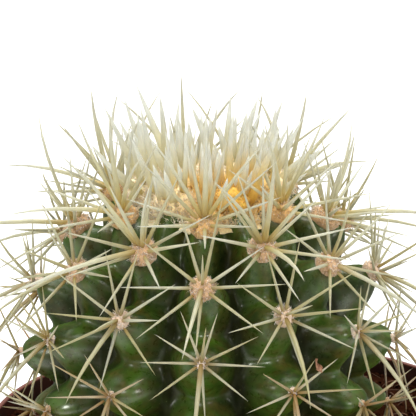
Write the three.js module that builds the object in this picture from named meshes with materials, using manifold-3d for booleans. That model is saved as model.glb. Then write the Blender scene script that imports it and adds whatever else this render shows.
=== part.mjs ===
// A young golden barrel cactus in a brown plastic nursery pot, in millimetres, +Z up.
// The origin is the middle of the pot's underside, and the cactus is seen from -Y.
import * as THREE from "three";
import { mergeVertices } from "three/addons/utils/BufferGeometryUtils.js";
import Module from "manifold-3d";

const wasm = await Module();
wasm.setup();

// Driving dimensions
const GAP = 0.3; // between pieces that touch
const POT = {
  height: 100,
  rimRadius: 60,
  rimBand: 15, // height of the straight collar under the lip
  ledge: 3.2, // how far the collar stands out of the tapered wall
  baseRadius: 42,
  wall: 1.2,
  sides: 36,
  drains: 6,
  drainRadius: 3.5,
  drainCircle: 29,
};
const SOIL = { level: 95.5, lump: 1.1, rings: 5, sides: 36 };
const STEM = {
  axisX: -8.2, // the plant stands a little to one side of the pot's middle
  axisY: -5.1,
  middle: 119.8, // height of its widest level
  radius: 43,
  up: 41.6, // from the widest level to the top
  down: 33.5, // and to the bottom, in the soil
  shoulder: 2.1, // 2 is an ellipsoid, more is squarer
};
const RIBS = 13;
const RIB_ANGLE = 360 / RIBS;
const FRONT_RIB = -2; // azimuth of rib 0, from -Y towards +X, in degrees
const TURNS = 6; // areole rows that the ribs climb in one turn round the stem
const RIB_DEPTH = 0.2; // as a share of the stem's radius
const NOTCH_DEPTH = 0.15; // between one tubercle of a rib and the next
const CHIN = 0.05; // how far a tubercle's underside is longer than its top, in rows
const AREOLE = {
  first: 28.5, // polar angle of the first one on rib 0, in degrees
  step: 22.8,
  highest: 26,
  lowest: 113,
  tilt: 8, // how far each faces up from the stem's own normal
};
const PAD = {
  first: 4, // radius of the wool at the first areole
  shrink: 0.05, // less for each degree further down
  least: 1.7,
  back: 0.5, // its height at least
  dome: 0.62, // more for each millimetre of its radius
  sides: 6,
  rootRise: 0.32, // of a spine's root in the wool, as a share of its radius
  rootOut: 0.25,
  rootLength: 0.8, // past the wool, where a spine may still be near the skin
};
const CROWN = {
  level: 37.8, // of the flat top that the wool lies on, over the widest level
  radius: 18.5,
  rise: 4.2,
  cutBelow: 38, // the wool makes room for the areoles above this polar angle
  cutGap: 1.1,
  spines: 46,
  spineLength: 19,
  lengthRange: 0.36, // longer or shorter, as a share
  leanRange: 13,
  spineWidth: 1.8,
  rootsWithin: 0.86, // of its radius
  rootRise: 0.3, // of its rise
  turn: 137.508, // the golden angle, from one spine to the next
  drawKey: 99, // stands for a rib's number
};
const TRIES = { most: 40, loosen: 0.12, raise: 1.5, shorten: 0.02, shortenAfter: 8 };
const SPINE_SIDES = 3;
const BEND_WIDTH = 0.66; // of a bent spine at its middle, as a share of its width at the root
const CLEAR = 0.22; // between spines of different clusters
const SEED = 20261;

// Colours, as on the object
const potPlastic = material(0x8b6050, 0.5);
const peat = material(0x33211a, 1);
const skinGreen = material(0x3c4f22, 0.35);
const spineCream = material(0xd9cfa4, 0.5);
const crownGold = material(0xe2bd74, 0.8);

function material(color, roughness) {
  return new THREE.MeshStandardMaterial({ color, roughness, metalness: 0 });
}

function radians(degrees) {
  return THREE.MathUtils.degToRad(degrees);
}

// 0 below from, 1 above to, and a smooth step between them.
function ramp(value, from, to) {
  return THREE.MathUtils.smoothstep(value, from, to);
}

// A number from 0 to 1 that depends only on its whole-number keys.
function draw(...keys) {
  let hash = SEED;
  for (const key of keys) {
    hash = Math.imul(hash ^ (key + 0x9e37), 0x85ebca6b);
    hash = Math.imul(hash ^ (hash >>> 13), 0xc2b2ae35);
    hash ^= hash >>> 16;
  }
  return (hash >>> 0) / 4294967296;
}

function spread(centre, range, ...keys) {
  return centre + range * (2 * draw(...keys) - 1);
}

// Solids: a closed geometry becomes a solid for a join or a cut, and a solid becomes a mesh.
function solidOf(geometry) {
  const bare = geometry.clone();
  bare.deleteAttribute("normal");
  bare.deleteAttribute("uv");
  const merged = mergeVertices(bare, 1e-4);
  return new wasm.Manifold(
    new wasm.Mesh({
      numProp: 3,
      vertProperties: merged.attributes.position.array,
      triVerts: new Uint32Array(merged.index.array),
    }),
  );
}

function meshOf(name, solid, look) {
  const { numProp, vertProperties, triVerts } = solid.getMesh();
  const geometry = new THREE.BufferGeometry();
  const stored = new THREE.InterleavedBuffer(vertProperties, numProp);
  const position = new THREE.InterleavedBufferAttribute(stored, 3, 0);
  geometry.setAttribute("position", position);
  geometry.setIndex(new THREE.BufferAttribute(triVerts, 1));
  const flat = geometry.toNonIndexed();
  flat.computeVertexNormals();
  const mesh = new THREE.Mesh(flat, look);
  mesh.name = name;
  return mesh;
}

// Turned from a closed profile of [radius, height] pairs that goes out, up and back in.
function turned(profile, sides) {
  const points = profile.map(([r, z]) => new THREE.Vector2(r, z));
  return new THREE.LatheGeometry(points, sides).rotateX(Math.PI / 2);
}

function potWallRadius(height) {
  const top = POT.rimRadius - POT.ledge;
  const shoulder = POT.height - POT.rimBand;
  return POT.baseRadius + ((top - POT.baseRadius) * height) / shoulder;
}

// The pot: a tapered wall, a ledge, a straight collar with a thin lip, and a floor with drains.
function pot() {
  const { height, rimRadius, rimBand, wall, baseRadius } = POT;
  const shoulder = height - rimBand;
  const neck = potWallRadius(shoulder);
  const profile = [
    [0, 0],
    [baseRadius - 1, 0],
    [baseRadius, 1],
    [neck, shoulder],
    [rimRadius - 0.6, shoulder + 2],
    [rimRadius, height - 0.8],
    [rimRadius - 0.3, height],
    [rimRadius - wall + 0.2, height],
    [rimRadius - wall, height - 0.6],
    [rimRadius - 0.6 - wall, shoulder + 3.2],
    [neck - wall, shoulder + 1],
    [potWallRadius(2 * wall) - wall, 2 * wall],
    [baseRadius - 2 * wall, wall],
    [0, wall],
  ];
  let solid = solidOf(turned(profile, POT.sides));
  for (let i = 0; i < POT.drains; i++) {
    const angle = radians((360 * i) / POT.drains + 30);
    const hole = new THREE.CylinderGeometry(POT.drainRadius, POT.drainRadius, 8, 12);
    hole.rotateX(Math.PI / 2);
    hole.translate(POT.drainCircle * Math.cos(angle), POT.drainCircle * Math.sin(angle), 0);
    solid = solid.subtract(solidOf(hole));
  }
  return meshOf("pot", solid, potPlastic);
}

// The loose peat's surface, as a height over its level.
function lumps(x, y) {
  const coarse = Math.sin(0.31 * x + 1.3) * Math.sin(0.27 * y - 0.4);
  const fine = Math.sin(0.83 * x - 0.51 * y) * Math.sin(0.62 * x + 0.9 * y + 2);
  return SOIL.lump * (0.6 * coarse + 0.4 * fine);
}

// The soil: it fills the pot, with a lumpy top and a plain pit that the stem's foot stands in.
function soil() {
  const wallGap = POT.wall + GAP;
  const edge = rimInside(SOIL.level) - GAP;
  const inner = 20;
  const shoulder = POT.height - POT.rimBand;
  const profile = [
    [0, wallGap],
    [POT.baseRadius - 3 * POT.wall - GAP, wallGap],
    [potWallRadius(3 * POT.wall) - wallGap, 3 * POT.wall],
    [potWallRadius(shoulder) - wallGap, shoulder + 1 + GAP],
    [POT.rimRadius - 0.6 - wallGap, shoulder + 3.2 + GAP],
  ];
  for (let i = 0; i <= SOIL.rings; i++) {
    profile.push([edge + ((inner - edge) * i) / SOIL.rings, SOIL.level]);
  }
  profile.push([0, SOIL.level]);
  const geometry = turned(profile, SOIL.sides);
  const position = geometry.attributes.position;
  for (let i = 0; i < position.count; i++) {
    if (Math.abs(position.getZ(i) - SOIL.level) > 0.01) continue;
    position.setZ(i, SOIL.level + lumps(position.getX(i), position.getY(i)));
  }
  return meshOf("soil", solidOf(geometry).subtract(pit()), peat);
}

// Inside radius of the pot's collar at a height.
function rimInside(height) {
  const share = (height - POT.height + POT.rimBand) / POT.rimBand;
  return POT.rimRadius - POT.wall - 0.7 * (1 - Math.min(share, 1));
}

// The pit follows the stem's outer shape, a gap outside it, and is open above.
function pit() {
  const profile = [[0, -STEM.down - GAP]];
  for (let polar = 168; polar >= 112; polar -= 14) {
    const { radius, height } = envelope(polar);
    profile.push([radius + 2 * GAP, height - GAP]);
  }
  const mouth = profile[profile.length - 1][0];
  profile.push([mouth, 0], [0, 0]);
  const geometry = turned(profile, 24);
  geometry.translate(STEM.axisX, STEM.axisY, STEM.middle);
  return solidOf(geometry);
}

// The smooth shape that the tubercles' tips lie on: radius and height over the widest level.
function envelope(polar) {
  const power = 2 / STEM.shoulder;
  const sine = Math.sin(radians(polar));
  const cosine = Math.cos(radians(polar));
  const reach = cosine > 0 ? STEM.up : STEM.down;
  return {
    radius: STEM.radius * Math.pow(Math.abs(sine), power),
    height: reach * Math.sign(cosine) * Math.pow(Math.abs(cosine), power),
  };
}

// How many rows a rib's areoles are shifted down, from 0 to 1.
function ribShift(rib) {
  const shift = (TURNS * rib) / RIBS;
  return shift - Math.floor(shift);
}

// The skin's distance from the stem's centre, as a share of the envelope's.
function skinShare(polar, azimuth) {
  const turn = (azimuth - FRONT_RIB) / RIB_ANGLE;
  const rib = Math.round(turn);
  const row = (polar - AREOLE.first) / AREOLE.step - ribShift(rib);
  const below = row - CHIN * (1 - Math.cos(2 * Math.PI * row));
  const swell = Math.cos(2 * Math.PI * below); // 1 at an areole, -1 in a notch
  const across = Math.pow(2 * Math.abs(turn - rib), 1.4 + 0.4 * swell);
  const crest = 0.5 + 0.5 * Math.cos(Math.PI * Math.min(across, 1));
  const ribs = RIB_DEPTH * ramp(polar, 8, 42) * (1 - 0.6 * ramp(polar, 112, 150));
  const notches = NOTCH_DEPTH * ramp(polar, 18, 46) * (1 - ramp(polar, 106, 132));
  return 1 - ribs * (1 - crest) - notches * 0.5 * (1 - swell) * (1 - across * across);
}

// A point at a share of the envelope, in the object's frame. The crown is flat.
function stemPoint(polar, azimuth, share) {
  const { radius, height } = envelope(polar);
  const around = radians(azimuth);
  return new THREE.Vector3(
    STEM.axisX + share * radius * Math.sin(around),
    STEM.axisY - share * radius * Math.cos(around),
    STEM.middle + Math.min(share * height, CROWN.level),
  );
}

function skinPoint(polar, azimuth) {
  return stemPoint(polar, azimuth, skinShare(polar, azimuth));
}

// How far a point lies outside the stem's skin.
function overSkin(point) {
  const x = point.x - STEM.axisX;
  const y = point.y - STEM.axisY;
  const z = point.z - STEM.middle;
  const reach = z > 0 ? STEM.up : STEM.down;
  const radial = Math.pow(Math.hypot(x, y) / STEM.radius, STEM.shoulder);
  const axial = Math.pow(Math.abs(z) / reach, STEM.shoulder);
  const share = Math.pow(radial + axial, 1 / STEM.shoulder);
  const steep = Math.atan2(Math.sqrt(radial), Math.sign(z) * Math.sqrt(axial));
  const azimuth = THREE.MathUtils.radToDeg(Math.atan2(x, -y));
  const skin = skinShare(THREE.MathUtils.radToDeg(steep), azimuth);
  return (1 - skin / share) * Math.hypot(x, y, z);
}

// The stem: ribs cut into tubercles, one closed skin raised by the formula above.
function stem() {
  const columns = RIBS * 6;
  const rows = [13, 20, 24.5];
  for (let polar = AREOLE.first; polar < 116; polar += AREOLE.step / 5) rows.push(polar);
  rows.push(122, 130, 143, 160);
  const points = [skinPoint(0, 0)];
  for (const polar of rows) {
    for (let i = 0; i < columns; i++) {
      points.push(skinPoint(polar, FRONT_RIB + (360 * i) / columns));
    }
  }
  points.push(skinPoint(180, 0));
  const last = points.length - 1;
  const index = [];
  for (let i = 0; i < columns; i++) {
    const next = (i + 1) % columns;
    index.push(0, 1 + i, 1 + next);
    for (let j = 0; j + 1 < rows.length; j++) {
      const upper = 1 + j * columns;
      const lower = upper + columns;
      index.push(upper + i, lower + i, lower + next);
      index.push(upper + i, lower + next, upper + next);
    }
    const bottom = 1 + (rows.length - 1) * columns;
    index.push(last, bottom + next, bottom + i);
  }
  const geometry = new THREE.BufferGeometry().setFromPoints(points);
  geometry.setIndex(index);
  return meshOf("stem", solidOf(geometry), skinGreen);
}

// An areole's seat on its tubercle: place, outward normal, and right and up along the skin.
function seatAt(polar, azimuth, padRadius) {
  const turn = 0.01;
  const top = stemPoint(polar - turn, azimuth, 1);
  const low = stemPoint(polar + turn, azimuth, 1);
  const up = top.sub(low).normalize();
  const around = radians(azimuth);
  const right = new THREE.Vector3(Math.cos(around), Math.sin(around), 0);
  const normal = new THREE.Vector3().crossVectors(right, up).normalize();
  normal.applyAxisAngle(right, radians(AREOLE.tilt));
  up.crossVectors(normal, right).normalize();
  const place = skinPoint(polar, azimuth);
  // The pad's back rests over the highest skin under its disc.
  let lift = 0;
  const reach = THREE.MathUtils.radToDeg(padRadius / STEM.radius);
  for (let i = -3; i <= 3; i++) {
    for (let j = -3; j <= 3; j++) {
      if (Math.hypot(i, j) > 3.2) continue;
      const near = skinPoint(polar + (reach * i) / 3, azimuth + (reach * j) / 3);
      lift = Math.max(lift, near.sub(place).dot(normal));
    }
  }
  place.addScaledVector(normal, lift + GAP);
  return { place, normal, right, up };
}

// Radial spines fan out low over the skin, by their angle from right, turned towards up.
const RADIALS = [2, 31, 72, 109, 149, 178, 217, 270, 324];
const OLD_RADIALS = [2, 36, 92, 146, 178, 218, 270, 322];
const RADIAL = {
  length: 19,
  shorter: 5.5, // on an old areole
  width: 1.3,
  slimmer: 0.45,
  lift: 17, // off the skin, in degrees
  higher: 15, // on a young areole
};

// Central spines stand out: angle, lift off the skin, length and width, by the areole's age.
const FIRST_CENTRALS = [
  [92, 62, 22, 1.5],
  [38, 50, 24, 1.4],
  [143, 50, 24, 1.4],
];
const YOUNG_CENTRALS = [
  [95, 60, 23, 1.5],
  [30, 44, 30, 1.4],
  [152, 44, 30, 1.4],
  [258, 44, 30, 1.9],
];
const GROWN_CENTRALS = [
  [85, 52, 16, 1.2],
  [260, 38, 24, 1.7],
];
const OLD_CENTRALS = [[266, 30, 18, 1.3]];
// Two areoles on the front have a longer one that sweeps out to the side, by rib and row.
const SWEEPING_CENTRALS = {
  "12,1": [
    [95, 60, 23, 1.5],
    [30, 44, 26, 1.4],
    [140, 42, 30, 1.6],
    [236, 20, 35, 1.8],
  ],
  "2,2": [
    [85, 52, 18, 1.3],
    [20, 35, 22, 1.4],
    [290, 20, 28, 1.6],
  ],
};
const BOW = 0.09; // of a central spine, as a share of its length

// Every areole on the ribs, from the crown's edge to just above the soil.
function areoles() {
  const found = [];
  for (let rib = 0; rib < RIBS; rib++) {
    const azimuth = FRONT_RIB + rib * RIB_ANGLE;
    let row = 0;
    for (let step = -1; step < 5; step++) {
      const polar = AREOLE.first + AREOLE.step * (step + ribShift(rib));
      if (polar < AREOLE.highest || polar > AREOLE.lowest) continue;
      row += 1;
      const padRadius = Math.max(PAD.least, PAD.first - PAD.shrink * (polar - AREOLE.first));
      found.push({ rib, row, polar, padRadius, ...seatAt(polar, azimuth, padRadius) });
    }
  }
  return found;
}

// One spine's wish: a gently bent line from its root in the wool to its tip.
function spineLine(areole, slot, wish, attempt) {
  const { rib, row, place, normal, right, up, padRadius } = areole;
  const [angle, lift, length, width, bow] = wish;
  const loose = 1 + TRIES.loosen * attempt;
  const heading = radians(spread(angle, 6 * loose, rib, row, slot, attempt, 1));
  const raised = radians(spread(lift, 6 * loose, rib, row, slot, attempt, 2));
  const long = length * spread(1, 0.12, rib, row, slot, attempt, 3);
  const flat = right.clone().multiplyScalar(Math.cos(heading));
  flat.addScaledVector(up, Math.sin(heading));
  const way = flat.clone().multiplyScalar(Math.cos(raised));
  way.addScaledVector(normal, Math.sin(raised));
  const root = place.clone().addScaledVector(normal, PAD.rootRise * padRadius);
  root.addScaledVector(flat, PAD.rootOut * padRadius);
  const tip = root.clone().addScaledVector(way, long);
  const middle = root.clone().lerp(tip, 0.5);
  middle.addScaledVector(normal, bow * long);
  return { points: [root, middle, tip], radius: width / 2, bent: bow > 0 };
}

function spineWishes({ rib, row, polar }) {
  const length = RADIAL.length - RADIAL.shorter * ramp(polar, 40, 85);
  const width = RADIAL.width - RADIAL.slimmer * ramp(polar, 30, 100);
  const lift = RADIAL.lift + RADIAL.higher * (1 - ramp(polar, 28, 52));
  const radials = polar < 80 ? RADIALS : OLD_RADIALS;
  const wishes = radials.map((angle) => [angle, lift, length, width, 0]);
  let centrals = OLD_CENTRALS;
  if (polar < 80) centrals = GROWN_CENTRALS;
  if (polar < 47) centrals = YOUNG_CENTRALS;
  if (polar < 29) centrals = FIRST_CENTRALS;
  centrals = SWEEPING_CENTRALS[`${rib},${row}`] || centrals;
  return wishes.concat(centrals.map((central) => [...central, BOW]));
}

// The least distance between two straight stretches.
function stretchDistance(a, b, c, d) {
  const u = b.clone().sub(a);
  const v = d.clone().sub(c);
  const w = a.clone().sub(c);
  const uu = u.dot(u);
  const uv = u.dot(v);
  const vv = v.dot(v);
  const uw = u.dot(w);
  const vw = v.dot(w);
  const within = (value) => THREE.MathUtils.clamp(value, 0, 1);
  const bend = uu * vv - uv * uv;
  let s = bend > 1e-9 ? within((uv * vw - vv * uw) / bend) : 0;
  const t = within((uv * s + vw) / vv);
  s = within((uv * t - uw) / uu);
  const apart = w.addScaledVector(u, s).addScaledVector(v, -t);
  return apart.length();
}

function spinesClear(one, other) {
  const need = one.radius + other.radius + CLEAR;
  const reach = one.half + other.half + need;
  if (one.points[1].distanceTo(other.points[1]) > reach) return true;
  for (let i = 0; i < 2; i++) {
    for (let j = 0; j < 2; j++) {
      const [a, b] = [one.points[i], one.points[i + 1]];
      const [c, d] = [other.points[j], other.points[j + 1]];
      if (stretchDistance(a, b, c, d) < need) return false;
    }
  }
  return true;
}

// Whether a point lies in the crown's wool, or nearer to it than a distance.
function underWool(point, distance) {
  const out = Math.hypot(point.x - crownSeat.x, point.y - crownSeat.y) - distance;
  const top = crownSeat.z + CROWN.rise * (1 - 0.5 * (out / CROWN.radius) ** 2);
  return out < CROWN.radius && point.z - distance < top;
}

// Clear of the soil, the pot, the skin past its root, and the crown's wool unless it stands in it.
function surroundingsClear(spine, own) {
  const [root, middle, tip] = spine.points;
  const point = new THREE.Vector3();
  const samples = 14;
  for (let i = 0; i <= samples; i++) {
    const share = (2 * i) / samples;
    if (share < 1) point.lerpVectors(root, middle, share);
    else point.lerpVectors(middle, tip, share - 1);
    const thick = spine.radius * (1 - share / 2) + GAP;
    if (!own.inCrown) {
      const rooted = point.distanceTo(root) < own.padRadius + PAD.rootLength;
      if (!rooted && overSkin(point) < thick) return false;
      if (underWool(point, thick)) return false;
    }
    const out = Math.hypot(point.x, point.y);
    if (point.z < SOIL.level + SOIL.lump + thick) return false;
    if (point.z < POT.height + thick && out > rimInside(point.z) - thick) return false;
  }
  return true;
}

// Clear of every wool pad but its own.
function padsClear(spine, pads, own) {
  return pads.every((pad) => {
    if (pad === own) return true;
    const need = pad.padRadius + spine.radius + CLEAR;
    const [a, b, c] = spine.points;
    const middle = pad.place.clone().addScaledVector(pad.normal, 0.4 * pad.padRadius);
    const beyond = middle.clone().addScaledVector(pad.normal, 0.01);
    return (
      stretchDistance(a, b, middle, beyond) > need && stretchDistance(b, c, middle, beyond) > need
    );
  });
}

// Gives a cluster its spines. One that meets a neighbour is turned a little, then shortened.
function settle(own, wishes, placed, pads, lineOf) {
  const kept = [];
  wishes.forEach((wish, slot) => {
    for (let attempt = 0; attempt < TRIES.most; attempt++) {
      const tried = [...wish];
      tried[1] += attempt % 2 ? TRIES.raise * attempt : 0;
      tried[2] *= 1 - TRIES.shorten * Math.max(0, attempt - TRIES.shortenAfter);
      const spine = lineOf(own, slot, tried, attempt);
      spine.half = spine.points[0].distanceTo(spine.points[2]) / 2;
      const free =
        surroundingsClear(spine, own) &&
        padsClear(spine, pads, own) &&
        placed.every((other) => spinesClear(spine, other));
      if (!free) continue;
      kept.push(spine);
      return;
    }
  });
  return kept;
}

// A slim needle of few sides along a spine's line, to a point.
function needle({ points, radius, bent }) {
  const [root, middle, tip] = points;
  const rings = bent ? [root, middle] : [root];
  const shares = bent ? [1, BEND_WIDTH] : [1];
  const way = tip.clone().sub(root).normalize();
  const side = new THREE.Vector3(way.y, -way.x, 0.3).cross(way).normalize();
  const across = new THREE.Vector3().crossVectors(way, side);
  const vertices = [];
  rings.forEach((centre, ring) => {
    for (let i = 0; i < SPINE_SIDES; i++) {
      const angle = (2 * Math.PI * i) / SPINE_SIDES;
      const vertex = centre.clone();
      vertex.addScaledVector(side, radius * shares[ring] * Math.cos(angle));
      vertex.addScaledVector(across, radius * shares[ring] * Math.sin(angle));
      vertices.push(vertex);
    }
  });
  vertices.push(tip);
  const end = vertices.length - 1;
  const index = [0, 2, 1];
  for (let i = 0; i < SPINE_SIDES; i++) {
    const next = (i + 1) % SPINE_SIDES;
    for (let ring = 0; ring + 1 < rings.length; ring++) {
      const low = ring * SPINE_SIDES;
      const high = low + SPINE_SIDES;
      index.push(low + i, low + next, high + next);
      index.push(low + i, high + next, high + i);
    }
    index.push(end - SPINE_SIDES + i, end - SPINE_SIDES + next, end);
  }
  const geometry = new THREE.BufferGeometry().setFromPoints(vertices);
  geometry.setIndex(index);
  return solidOf(geometry);
}

// The wool cushion of an areole, flat at the back and domed in front.
function pad({ place, normal, padRadius }) {
  const height = PAD.back + PAD.dome * padRadius;
  const profile = [
    [0, 0],
    [padRadius, 0],
    [0.75 * padRadius, 0.75 * height],
    [0, height],
  ];
  const geometry = turned(profile, PAD.sides);
  const facing = new THREE.Quaternion();
  facing.setFromUnitVectors(new THREE.Vector3(0, 0, 1), normal);
  geometry.applyQuaternion(facing);
  geometry.translate(place.x, place.y, place.z);
  return solidOf(geometry);
}

// One areole: its wool and all its spines, as one body.
function cluster(areole, spines) {
  const parts = [pad(areole), ...spines.map(needle)];
  const body = parts.reduce((whole, part) => whole.add(part));
  const name = `areole_rib${String(areole.rib + 1).padStart(2, "0")}_row${areole.row}`;
  return meshOf(name, body, spineCream);
}

// The crown's young spines stand in the wool by the golden angle, upright inside, leaning outside.
function crownLine(own, slot, wish, attempt) {
  const [share, lean, length, width] = wish;
  const keys = [CROWN.drawKey, slot, attempt];
  const around = radians(CROWN.turn * slot + spread(0, 9, ...keys, 1));
  const leaning = radians(spread(lean, CROWN.leanRange, ...keys, 2));
  const long = length * spread(1, CROWN.lengthRange, ...keys, 3);
  const flat = new THREE.Vector3(Math.sin(around), -Math.cos(around), 0);
  const out = CROWN.radius * CROWN.rootsWithin * Math.sqrt(share);
  const root = crownSeat.clone().addScaledVector(flat, out);
  root.z += CROWN.rootRise * CROWN.rise;
  const way = flat.clone().multiplyScalar(Math.sin(leaning));
  way.z = Math.cos(leaning);
  const tip = root.clone().addScaledVector(way, long);
  return { points: [root, root.clone().lerp(tip, 0.5), tip], radius: width / 2, bent: false };
}

// From the middle of the crown out, the spines lean further and grow longer.
function crownWishes() {
  const wishes = [];
  for (let i = 0; i < CROWN.spines; i++) {
    const share = (i + 0.5) / CROWN.spines;
    const length = CROWN.spineLength * (0.75 + 0.35 * share);
    wishes.push([share, 4 + 40 * share, length, CROWN.spineWidth]);
  }
  return wishes;
}

// The crown: a felted cushion of wool in the stem's sunken top, with its young spines.
function crown(spines) {
  const { radius, rise } = CROWN;
  const profile = [
    [0, 0],
    [0.94 * radius, 0],
    [radius, 0.3 * rise],
    [0.9 * radius, 0.72 * rise],
    [0.6 * radius, rise],
    [0, 0.85 * rise],
  ];
  const geometry = turned(profile, 26);
  geometry.translate(crownSeat.x, crownSeat.y, crownSeat.z);
  let body = solidOf(geometry);
  for (const areole of pads) {
    if (areole.polar > CROWN.cutBelow) continue;
    body = body.subtract(pad({ ...areole, padRadius: areole.padRadius + CROWN.cutGap }));
  }
  for (const spine of spines) body = body.add(needle(spine));
  return meshOf("crown", body, crownGold);
}

// The cactus is put together: the pads first, then the spines of one after the other.
const cactus = new THREE.Group();
cactus.add(stem());
const pads = areoles();
const placed = [];
const crownSeat = new THREE.Vector3(STEM.axisX, STEM.axisY, STEM.middle + CROWN.level + GAP);
for (const areole of pads) {
  const spines = settle(areole, spineWishes(areole), placed, pads, spineLine);
  placed.push(...spines);
  cactus.add(cluster(areole, spines));
}
cactus.add(crown(settle({ inCrown: true }, crownWishes(), placed, pads, crownLine)));

const pottedCactus = new THREE.Group();
pottedCactus.add(pot(), soil(), cactus);
export default pottedCactus;
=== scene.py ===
import math

import bmesh
import bpy
import numpy as np
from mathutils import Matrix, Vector, noise


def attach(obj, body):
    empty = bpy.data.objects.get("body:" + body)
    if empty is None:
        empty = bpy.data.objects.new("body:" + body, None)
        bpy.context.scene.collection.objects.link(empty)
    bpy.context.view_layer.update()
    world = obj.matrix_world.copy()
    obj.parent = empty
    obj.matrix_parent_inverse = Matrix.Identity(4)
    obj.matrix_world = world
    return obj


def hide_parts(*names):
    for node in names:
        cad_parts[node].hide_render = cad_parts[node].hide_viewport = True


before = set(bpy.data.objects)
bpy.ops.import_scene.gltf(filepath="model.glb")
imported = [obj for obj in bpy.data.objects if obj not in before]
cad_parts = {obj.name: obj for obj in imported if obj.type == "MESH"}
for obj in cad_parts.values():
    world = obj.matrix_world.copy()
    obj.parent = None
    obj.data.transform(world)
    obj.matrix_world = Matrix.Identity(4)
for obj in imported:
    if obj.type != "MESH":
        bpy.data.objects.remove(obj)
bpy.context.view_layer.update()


# ---- The view ------------------------------------------------------------------------------
# The photograph looks a little down on the cactus and frames it closely, so that only the back of
# the pot's rim shows. A long lens from three quarters of a metre gives the same flat perspective.
MM = 0.001
FRAME_PIXELS = 416
PIXELS_PER_MM = 4.34  # at the plant
CAMERA_DISTANCE = 775 * MM
LOOK_DOWN = math.radians(17)
AIM = Vector((-8.2, 0, 153.2)) * MM
SENSOR = 36  # mm

camera = bpy.data.objects.new("camera", bpy.data.cameras.new("camera"))
camera.data.sensor_width = SENSOR
camera.data.lens = SENSOR * PIXELS_PER_MM * CAMERA_DISTANCE / MM / FRAME_PIXELS
camera.data.clip_start = 10 * MM
view_line = Vector((0, math.cos(LOOK_DOWN), -math.sin(LOOK_DOWN)))
camera.location = AIM - CAMERA_DISTANCE * view_line
camera.rotation_euler = (math.pi / 2 - LOOK_DOWN, 0, 0)
bpy.context.collection.objects.link(camera)
bpy.context.scene.camera = camera
bpy.context.scene.view_settings.view_transform = "Standard"


# ---- The floor and the light ---------------------------------------------------------------
# White background paper, lit by a soft box over the front left, a weaker one on the right, a large
# one above the paper behind, which also shines through the crown, and an even white surround.
def linear(colour):
    """An sRGB hex colour as linear RGBA."""
    shares = [int(colour[i : i + 2], 16) / 255 for i in (1, 3, 5)]
    curved = [c / 12.92 if c <= 0.04045 else ((c + 0.055) / 1.055) ** 2.4 for c in shares]
    return (*curved, 1)


def add(tree, kind, inputs=None, **settings):
    """One node with its settings; inputs are values, or sockets to link."""
    made = tree.nodes.new(kind)
    for name, value in settings.items():
        setattr(made, name, value)
    for name, value in (inputs or {}).items():
        if isinstance(value, bpy.types.NodeSocket):
            tree.links.new(value, made.inputs[name])
        else:
            made.inputs[name].default_value = value
    return made


def new_material(name):
    """An empty material and its node tree."""
    material = bpy.data.materials.new(name)
    material.use_nodes = True
    material.node_tree.nodes.clear()
    return material, material.node_tree


def new_piece(name, mesh_maker, material):
    """An object at the origin from a bmesh, smooth, with one material."""
    mesh = bpy.data.meshes.new(name)
    mesh_maker.to_mesh(mesh)
    mesh_maker.free()
    mesh.materials.append(material)
    mesh.shade_smooth()
    piece = bpy.data.objects.new(name, mesh)
    bpy.context.collection.objects.link(piece)
    return piece


PAPER_SIZE = 6.0  # m
SURROUND = 0.45  # strength of the white light that comes from all round
paper, tree = new_material("white_background_paper")
surface = add(tree, "ShaderNodeBsdfPrincipled", {"Base Color": linear("#f4f4f3"), "Roughness": 0.9})
add(tree, "ShaderNodeOutputMaterial", {"Surface": surface.outputs[0]})
sheet = bmesh.new()
bmesh.ops.create_grid(sheet, x_segments=2, y_segments=2, size=PAPER_SIZE / 2)
floor = new_piece("floor", sheet, paper)

SOFT_BOXES = [  # name, place and aim in metres, width, watts
    ("key", (-0.5, -0.7, 1.0), (0, 0, 0.12), 0.3, 9),
    ("fill", (0.85, -0.6, 0.7), (0, 0, 0.12), 0.3, 5),
    ("top", (0.05, 0.4, 1.05), (0, 0.25, 0), 0.8, 15),
]
for name, place, aim, width, watts in SOFT_BOXES:
    light = bpy.data.objects.new(name, bpy.data.lights.new(name, "AREA"))
    light.data.shape = "SQUARE"
    light.data.size = width
    light.data.energy = watts
    light.location = place
    light.rotation_euler = (Vector(aim) - Vector(place)).to_track_quat("-Z", "Y").to_euler()
    bpy.context.collection.objects.link(light)

world = bpy.data.worlds.new("studio")
bpy.context.scene.world = world
world.use_nodes = True
world.node_tree.nodes["Background"].inputs["Color"].default_value = (1, 1, 1, 1)
world.node_tree.nodes["Background"].inputs["Strength"].default_value = SURROUND


# ---- The pot -------------------------------------------------------------------------------
# A 12 cm nursery pot, injection-moulded in one piece from terracotta-brown polypropylene: a thin
# tapered wall, a ledge for stacking, a collar with a thin rounded lip, and drains in the floor.
POT_HEIGHT = 100 * MM
RIM_RADIUS = 60 * MM
COLLAR = 15 * MM
COLLAR_TAPER = 0.6 * MM
LEDGE = 3.2 * MM
LEDGE_RISE = 2 * MM
BASE_RADIUS = 42 * MM
WALL = 1.2 * MM
EDGE_ROUND = 0.5 * MM
EDGE_STEPS = 4
POT_STEPS = 160
DRAINS = 6
DRAIN_RADIUS = 3.5 * MM
DRAIN_SIDES = 32
DRAIN_CIRCLE = 29 * MM
DRAIN_TURN = 30  # degrees
DRILL_LENGTH = 8 * MM


def spun(profile, steps):
    """A closed body turned round the Z axis from radius and height pairs, the ends on the axis."""
    body = bmesh.new()
    points = [body.verts.new((r, 0, z)) for r, z in profile]
    edges = [body.edges.new(pair) for pair in zip(points, points[1:])]
    bmesh.ops.spin(
        body,
        geom=points + edges,
        cent=(0, 0, 0),
        axis=(0, 0, 1),
        dvec=(0, 0, 0),
        angle=2 * math.pi,
        steps=steps,
        use_merge=True,
    )
    bmesh.ops.remove_doubles(body, verts=body.verts, dist=1e-6)
    bmesh.ops.recalc_face_normals(body, faces=body.faces)
    return body


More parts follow.
